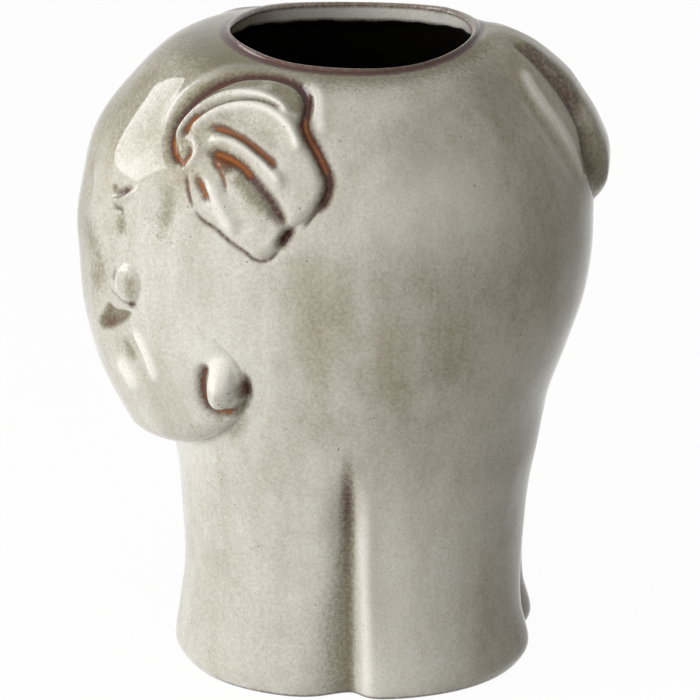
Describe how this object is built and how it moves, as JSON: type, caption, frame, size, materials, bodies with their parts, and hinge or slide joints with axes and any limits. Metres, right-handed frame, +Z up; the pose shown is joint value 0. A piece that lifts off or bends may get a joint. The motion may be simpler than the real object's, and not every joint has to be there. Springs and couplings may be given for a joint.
{
  "type": "elephant cachepot",
  "caption": "Glazed stoneware plant pot shaped as a standing elephant, hollow, open at the top of the head, with folded ears, tusks, a curled trunk and a flap tail.",
  "frame": {"origin": "on the standing face, under the middle of the length from the face to the tail and on the plane that parts left from right", "axes": "+Z up; the elephant faces -Y, and its left side is +X"},
  "size_m": [0.2088, 0.2384, 0.29],
  "materials": {
    "body_glaze": "glossy grey-beige reactive glaze, cloudy with fine dark speckle, dark brown inside the lip",
    "fold_glaze": "the same glaze, pooled orange-brown and purple-brown in the creases",
    "sprig_glaze": "the same glaze, broken paler on the edges"
  },
  "bodies": {
    "root": {"pot_body": "body_glaze", "left_ear": "fold_glaze", "right_ear": "fold_glaze", "left_eyelid": "sprig_glaze", "right_eyelid": "sprig_glaze", "left_tusk": "sprig_glaze", "right_tusk": "sprig_glaze", "trunk_tip": "sprig_glaze", "tail": "fold_glaze"}
  },
  "joints": []
}
